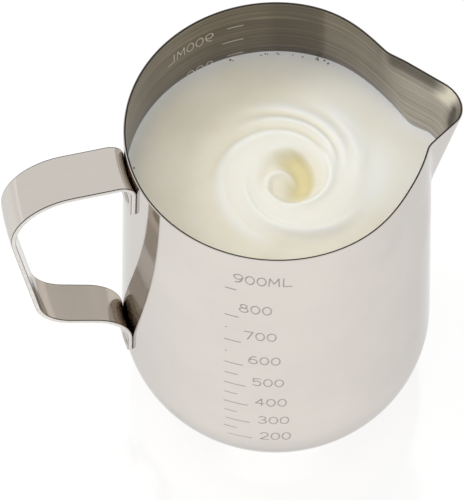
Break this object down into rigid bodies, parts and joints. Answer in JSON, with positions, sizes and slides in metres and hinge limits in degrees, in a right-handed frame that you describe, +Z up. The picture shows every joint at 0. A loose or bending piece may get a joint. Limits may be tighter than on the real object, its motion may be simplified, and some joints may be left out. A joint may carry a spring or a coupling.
{
  "type": "milk frothing pitcher",
  "caption": "Stainless steel milk frothing pitcher: drawn jug with a pressed pouring spout, stamped volume marks and a spot-welded strap handle.",
  "frame": {"origin": "centre of the base where the jug stands on the table", "axes": "+Z up along the jug's axis, +X out through the spout, handle towards -X"},
  "size_m": [0.1459, 0.1042, 0.141],
  "materials": {
    "jug_steel": "mirror polished outside, brushed around inside",
    "strap_steel": "mirror polished strip with rounded edges",
    "weld_metal": "matt resistance weld nuggets",
    "milk": "frothed milk in the jug, wet and soft"
  },
  "bodies": {
    "root": {"cup_body": "jug_steel", "handle_strap": "strap_steel", "upper_weld_nuggets": "weld_metal", "lower_weld_nuggets": "weld_metal"}
  },
  "joints": []
}
